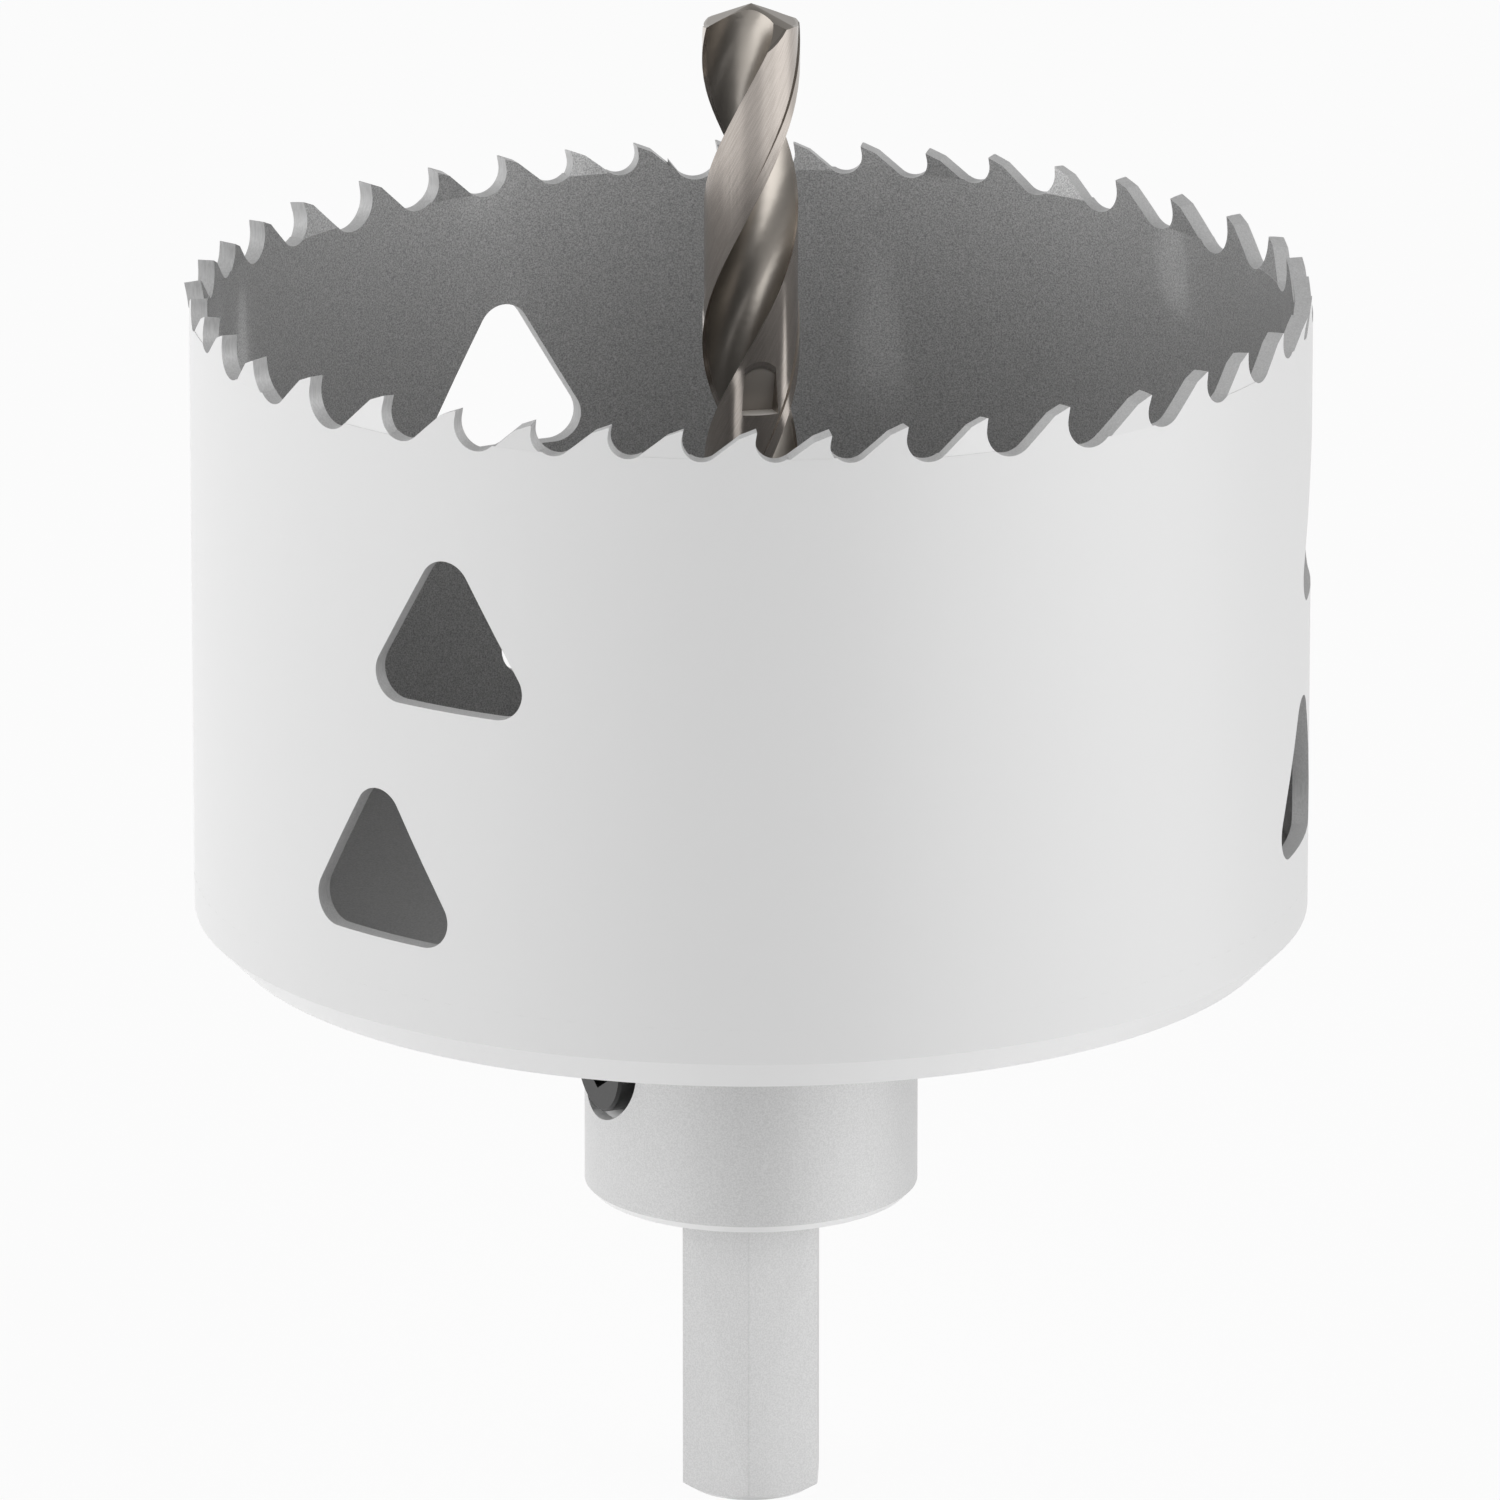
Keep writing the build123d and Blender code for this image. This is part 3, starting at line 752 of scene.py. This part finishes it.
@dataclass
class ThreadedArbor:
    """The arbor with the thread on its nose, which the base plate is screwed onto."""

    nose_mm: float = 15.9
    pitch_mm: float = 1.41
    depth_mm: float = 0.8
    root_mm: float = 0.18
    flank_angle: float = 30.0
    over_mm: float = 0.1
    start_below_floor_mm: float = 1.0
    past_end_mm: float = 1.0
    corner_mm: float = 0.12
    corner_steps: int = 3
    corner_profile: float = 0.5
    least_corner_length_mm: float = 15.0
    least_corner_angle: float = 40.0
    merge_mm: float = 0.0001
    steps_per_turn: int = 96
    smooth_angle: float = 12.0

    def groove(self, start: float, end: float) -> bpy.types.Mesh:
        """Makes the solid that cuts the thread's groove.

        Formula: a section with a flat root and straight flanks, carried along a helix that rises
        one pitch a turn, with flat ends.

        Args:
            start: Height of the groove's start in metres.
            end: Height of its end.

        Returns:
            The closed mesh of the cutter.
        """
        turns = (end - start) / (self.pitch_mm * MM)
        steps = round(turns * self.steps_per_turn)
        angle = np.linspace(0, 2 * np.pi * turns, steps)[:, None]
        root = self.nose_mm / 2 - self.depth_mm
        mouth = self.nose_mm / 2 + self.over_mm
        half_root = self.root_mm / 2
        half_mouth = half_root + (mouth - root) * math.tan(math.radians(self.flank_angle))
        radii = np.array([root, root, mouth, mouth]) * MM
        rises = np.array([-half_root, half_root, half_mouth, -half_mouth]) * MM
        height = start + angle / (2 * np.pi) * self.pitch_mm * MM + rises
        points = np.stack([radii * np.cos(angle), radii * np.sin(angle), height], axis=-1).reshape(-1, 3)
        corners = len(radii)
        faces = grid_faces(steps, corners, close_rows=False, close_columns=True).tolist()
        last = (steps - 1) * corners
        faces += [list(range(corners)), list(range(last, last + corners))]
        mesh = bpy.data.meshes.new("thread_groove")
        mesh.from_pydata(points.tolist(), [], faces)
        face_outwards(mesh)
        return mesh

    def blank(self) -> bpy.types.Mesh:
        """Merges a copy of the arbor and softens the shank's long corners.

        Returns:
            The closed mesh that the thread is cut into.
        """
        mesh = NODES["arbor"].data.copy()
        mesh.name = "arbor_blank"
        mesh.attributes.remove(mesh.attributes["custom_normal"])
        work = bmesh.new()
        work.from_mesh(mesh)
        bmesh.ops.remove_doubles(work, verts=work.verts, dist=self.merge_mm * MM)
        long_edges = [edge for edge in work.edges if edge.calc_length() > self.least_corner_length_mm * MM]
        sharp = math.radians(self.least_corner_angle)
        corners = [edge for edge in long_edges if edge.calc_face_angle(0) > sharp]
        bmesh.ops.bevel(work, geom=corners, offset=self.corner_mm * MM, offset_type="WIDTH",
                        segments=self.corner_steps, affect="EDGES", profile=self.corner_profile)
        log.info("shank corners: %d", len(corners))
        work.to_mesh(mesh)
        work.free()
        return mesh

    def threaded(self) -> bpy.types.Mesh:
        """Cuts the groove out of the blank.

        Returns:
            The mesh of the threaded arbor.
        """
        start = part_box("base_plate")[1].z - self.start_below_floor_mm * MM
        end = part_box("arbor")[1].z + self.past_end_mm * MM
        blank = bpy.data.objects.new("arbor_blank", self.blank())
        cutter = bpy.data.objects.new("thread_groove", self.groove(start, end))
        for part in (blank, cutter):
            bpy.context.scene.collection.objects.link(part)
        cut = blank.modifiers.new("thread", "BOOLEAN")
        cut.operation = "DIFFERENCE"
        cut.solver = "EXACT"
        cut.object = cutter
        seen = blank.evaluated_get(bpy.context.evaluated_depsgraph_get())
        mesh = bpy.data.meshes.new_from_object(seen)
        for part in (blank, cutter):
            bpy.data.objects.remove(part)
        mesh.name = "threaded_arbor"
        mesh.shade_smooth()
        mesh.set_sharp_from_angle(angle=math.radians(self.smooth_angle))
        return mesh

    def build(self) -> None:
        """Puts the threaded arbor in the place of the plain one."""
        low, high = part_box("set_screw")
        middle = (low + high) / 2
        way = Vector((middle.x, middle.y, 0)).normalized()
        finish = TurnedSteel(tuple(middle), tuple(way))
        piece = finished("threaded_arbor", self.threaded(), finish)
        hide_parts("arbor")


@dataclass
class PilotDrill:
    """The drill, whose notch is found on its mesh so that its finish meets it."""

    level_normal: float = 0.99

    def notch_place(self) -> tuple[tuple[float, float, float], float]:
        """Finds the drill's notch, from the level ledge at its lower end.

        Formula: the middle of the faces that look straight up inside the cup, weighted by their
        areas, made level and one long.

        Returns:
            A unit vector from the axis through the ledge's middle, and the ledge's height in metres.
        """
        mesh = NODES["pilot_drill"].data
        count = len(mesh.polygons)
        normals, centres, areas = np.empty(count * 3), np.empty(count * 3), np.empty(count)
        mesh.polygons.foreach_get("normal", normals)
        mesh.polygons.foreach_get("center", centres)
        mesh.polygons.foreach_get("area", areas)
        normals, centres = normals.reshape(-1, 3), centres.reshape(-1, 3)
        lowest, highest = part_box("base_plate")[1].z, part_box("tooth_band")[1].z
        ledge = (normals[:, 2] > self.level_normal) & (centres[:, 2] > lowest) & (centres[:, 2] < highest)
        middle = (centres[ledge] * areas[ledge, None]).sum(axis=0)
        level = middle[:2] / np.hypot(*middle[:2])
        log.info("notch at %.1f degrees", math.degrees(math.atan2(level[0], -level[1])))
        return (float(level[0]), float(level[1]), 0.0), float(centres[ledge, 2].max())

    def build(self) -> None:
        """Dresses the drill's node with the notch's place."""
        CadPiece("pilot_drill", DrillSteel(*self.notch_place()), "drill_steel").build()


@dataclass(frozen=True)
class Softbox:
    """A broad soft lamp that looks at the saw from a bearing, counted from the front to the right.

    Angles are in degrees and lengths in metres.
    """

    name: str
    bearing: float
    watts: float
    elevation: float = 14.0
    width: float = 1.4
    height: float = 0.8
    distance: float = 1.2

    def hang(self, aim: Vector) -> None:
        """Hangs the lamp.

        Args:
            aim: Point that it looks at.
        """
        data = bpy.data.lights.new(self.name, "AREA")
        data.shape = "RECTANGLE"
        data.size = self.width
        data.size_y = self.height
        data.energy = self.watts
        side = math.radians(self.bearing)
        up = math.radians(self.elevation)
        away = Vector((math.sin(side) * math.cos(up), -math.cos(side) * math.cos(up), math.sin(up)))
        lamp = bpy.data.objects.new(self.name, data)
        lamp.location = aim + away * self.distance
        lamp.rotation_euler = (-away).to_track_quat("-Z", "Y").to_euler()
        bpy.context.scene.collection.objects.link(lamp)


@dataclass(frozen=True)
class Band:
    """An upright band of the studio's wall at a bearing, lighter or darker than the rest.

    Its bearing, half of its width and its soft edge are in degrees, and its change adds to the
    wall's level.
    """

    bearing: float
    half_width: float
    soft: float
    change: float


BANDS = (
    Band(4.0, 6.0, 26.0, -0.34),
    Band(83.0, 8.0, 24.0, 0.24),
    Band(-131.0, 10.0, 34.0, 0.2),
    Band(135.0, 14.0, 24.0, -0.2),
)
SOFTBOXES = (Softbox("left_softbox", -76.0, 5.8), Softbox("right_softbox", 66.0, 5.9))


@dataclass
class Studio:
    """White studio: a camera at the photograph's place, a pale floor and broad soft lamps.

    Angles are in degrees, and lengths that aren't in millimetres are in metres.
    """

    elevation: float = 16.656
    distance_mm: float = 1284.8
    aim_below_teeth_mm: float = 35.74
    aim_aside_mm: float = -0.078
    lens_mm: float = 418.34
    sensor_mm: float = 36.0
    clip_end: float = 50.0
    floor_size: float = 12.0
    floor_colour: str = "#F0F0F0"
    floor_glow: float = 0.92
    world_level: float = 1.04
    zenith_share: float = 0.45
    dims_from: float = 0.1
    lamp_aim_mm: float = 60.0

    def build(self, teeth_height: float) -> None:
        """Builds the camera, the floor, the world and the lamps.

        Args:
            teeth_height: Height of the teeth's tips in metres.
        """
        self.add_camera(teeth_height)
        self.add_floor()
        self.light_world()
        for softbox in SOFTBOXES:
            softbox.hang(Vector((0, 0, self.lamp_aim_mm * MM)))
        bpy.context.scene.view_settings.view_transform = "Standard"

    def add_camera(self, teeth_height: float) -> None:
        """Makes the camera look slightly down at a point on the cup's axis.

        Args:
            teeth_height: Height of the teeth's tips in metres.
        """
        data = bpy.data.cameras.new("camera")
        data.lens = self.lens_mm
        data.sensor_width = self.sensor_mm
        data.clip_end = self.clip_end
        camera = bpy.data.objects.new("camera", data)
        down = math.radians(self.elevation)
        reach = self.distance_mm * MM
        aim = Vector((self.aim_aside_mm * MM, 0, teeth_height - self.aim_below_teeth_mm * MM))
        camera.location = aim + Vector((0, -reach * math.cos(down), reach * math.sin(down)))
        camera.rotation_euler = Euler((math.pi / 2 - down, 0, 0))
        bpy.context.scene.collection.objects.link(camera)
        bpy.context.scene.camera = camera

    def band_level(self, tree: Tree, direction: Socket) -> Node:
        """Finds how bright the studio is in a level direction.

        Formula: a base level, plus each band's change where the direction is near its bearing.

        Args:
            tree: Node tree to build in.
            direction: Socket with a vector from the saw's axis, whose height doesn't matter.

        Returns:
            A node with the brightness.
        """
        flat = add_node(tree, VECTORS, {0: direction, 1: LEVEL_PART}, operation="MULTIPLY")
        level = add_node(tree, VECTORS, {0: flat}, operation="NORMALIZE")
        total: Any = self.world_level
        for band in BANDS:
            side = math.radians(band.bearing)
            way = (math.sin(side), -math.cos(side), 0)
            toward = add_node(tree, VECTORS, {0: level, 1: way}, operation="DOT_PRODUCT")
            far = math.cos(math.radians(band.half_width + band.soft))
            near = math.cos(math.radians(band.half_width))
            change = add_node(tree, RANGE, span(toward, (far, near), 0.0, band.change), **SMOOTH)
            total = add_node(tree, MATH, {0: total, 1: change}, operation="ADD")
        return total

    def add_floor(self) -> None:
        """Lays a pale floor under the shank.

        The camera sees it white but for the saw's own shadow, and metal sees the studio's bands on it.
        """
        half = self.floor_size / 2
        corners = [(-half, -half, 0), (half, -half, 0), (half, half, 0), (-half, half, 0)]
        mesh = bpy.data.meshes.new("floor")
        mesh.from_pydata(corners, [], [(0, 1, 2, 3)])
        floor = bpy.data.objects.new("floor", mesh)
        bpy.context.scene.collection.objects.link(floor)
        material = bpy.data.materials.new("pale_floor")
        material.use_nodes = True
        tree = material.node_tree
        tree.nodes.clear()
        rays = add_node(tree, "ShaderNodeLightPath").outputs
        matte = add_node(tree, "ShaderNodeBsdfDiffuse", {"Color": linear(self.floor_colour)})
        level = self.band_level(tree, add_node(tree, "ShaderNodeTexCoord").outputs["Object"])
        strength = add_node(tree, MIX, {0: rays["Is Camera Ray"], NUMBER_A: level, NUMBER_B: 1.0}, **NUMBERS)
        glow = add_node(tree, "ShaderNodeEmission", {"Strength": strength})
        seen: Any = rays["Is Camera Ray"]
        for kind in ("Is Glossy Ray", "Is Transmission Ray"):
            seen = add_node(tree, MATH, {0: seen, 1: rays[kind]}, operation="MAXIMUM")
        share = add_node(tree, MATH, {0: seen, 1: self.floor_glow}, operation="MULTIPLY")
        both = add_node(tree, "ShaderNodeMixShader", {0: share, 1: matte, 2: glow})
        add_node(tree, "ShaderNodeOutputMaterial", {"Surface": both})
        mesh.materials.append(material)

    def light_world(self) -> None:
        """Lights the scene with pale upright bands all round, which the camera sees as plain white.

        Formula: the bands' level times a share that falls towards the zenith.
        """
        world = bpy.data.worlds.new("studio")
        world.use_nodes = True
        tree = world.node_tree
        tree.nodes.clear()
        direction = add_node(tree, "ShaderNodeTexCoord").outputs["Generated"]
        height = add_node(tree, "ShaderNodeSeparateXYZ", {0: direction}).outputs["Z"]
        dimmed = add_node(tree, RANGE, span(height, (self.dims_from, 1.0), 1.0, self.zenith_share), **SMOOTH)
        lit = add_node(tree, MATH, {0: self.band_level(tree, direction), 1: dimmed}, operation="MULTIPLY")
        rays = add_node(tree, "ShaderNodeLightPath").outputs["Is Camera Ray"]
        strength = add_node(tree, MIX, {0: rays, NUMBER_A: lit, NUMBER_B: 1.0}, **NUMBERS)
        glow = add_node(tree, "ShaderNodeBackground", {"Strength": strength})
        add_node(tree, "ShaderNodeOutputWorld", {"Surface": glow})
        bpy.context.scene.world = world


def main() -> None:
    """Builds every piece and the studio."""
    logging.basicConfig(level=logging.INFO, format="%(message)s")
    for piece in (
        CadPiece("tooth_band", CupFinish(), "cup_paint"),
        CadPiece("base_plate", PlateFinish(), "cup_paint"),
        WeldBead(),
        ThreadedArbor(),
        PilotDrill(),
        CadPiece("set_screw", BlackOxide(), "black_steel"),
    ):
        piece.build()
    Studio().build(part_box("tooth_band")[1].z)


if __name__ == "__main__":
    main()
